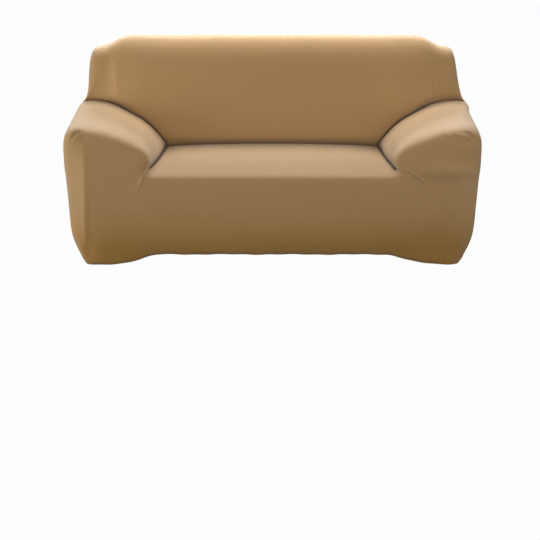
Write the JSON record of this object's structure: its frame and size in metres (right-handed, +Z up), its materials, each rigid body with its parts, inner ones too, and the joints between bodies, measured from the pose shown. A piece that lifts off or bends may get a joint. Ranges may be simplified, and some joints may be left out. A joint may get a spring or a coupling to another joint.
{
  "type": "stretch slipcover for a two-seat sofa, without the sofa",
  "caption": "Fitted stretch-knit slipcover in the shape of a two-seat sofa with rounded arms: hollow, open underneath, tucked at the creases, with a hem that hangs lower at the corners.",
  "frame": {"origin": "underside of the cloth at the middle of the top of the back, where the sofa holds the cover up", "axes": "+X along the width, to the right seen from the front; +Y from the front to the rear; +Z up"},
  "size_m": [1.7687, 0.895, 0.8363],
  "materials": {
    "stretch_knit": "matt fine-knit polyester and elastane, tan"
  },
  "bodies": {
    "root": {"seat_and_front": "stretch_knit", "inside_back": "stretch_knit", "outside_back": "stretch_knit", "left_arm": "stretch_knit", "right_arm": "stretch_knit"}
  },
  "joints": []
}
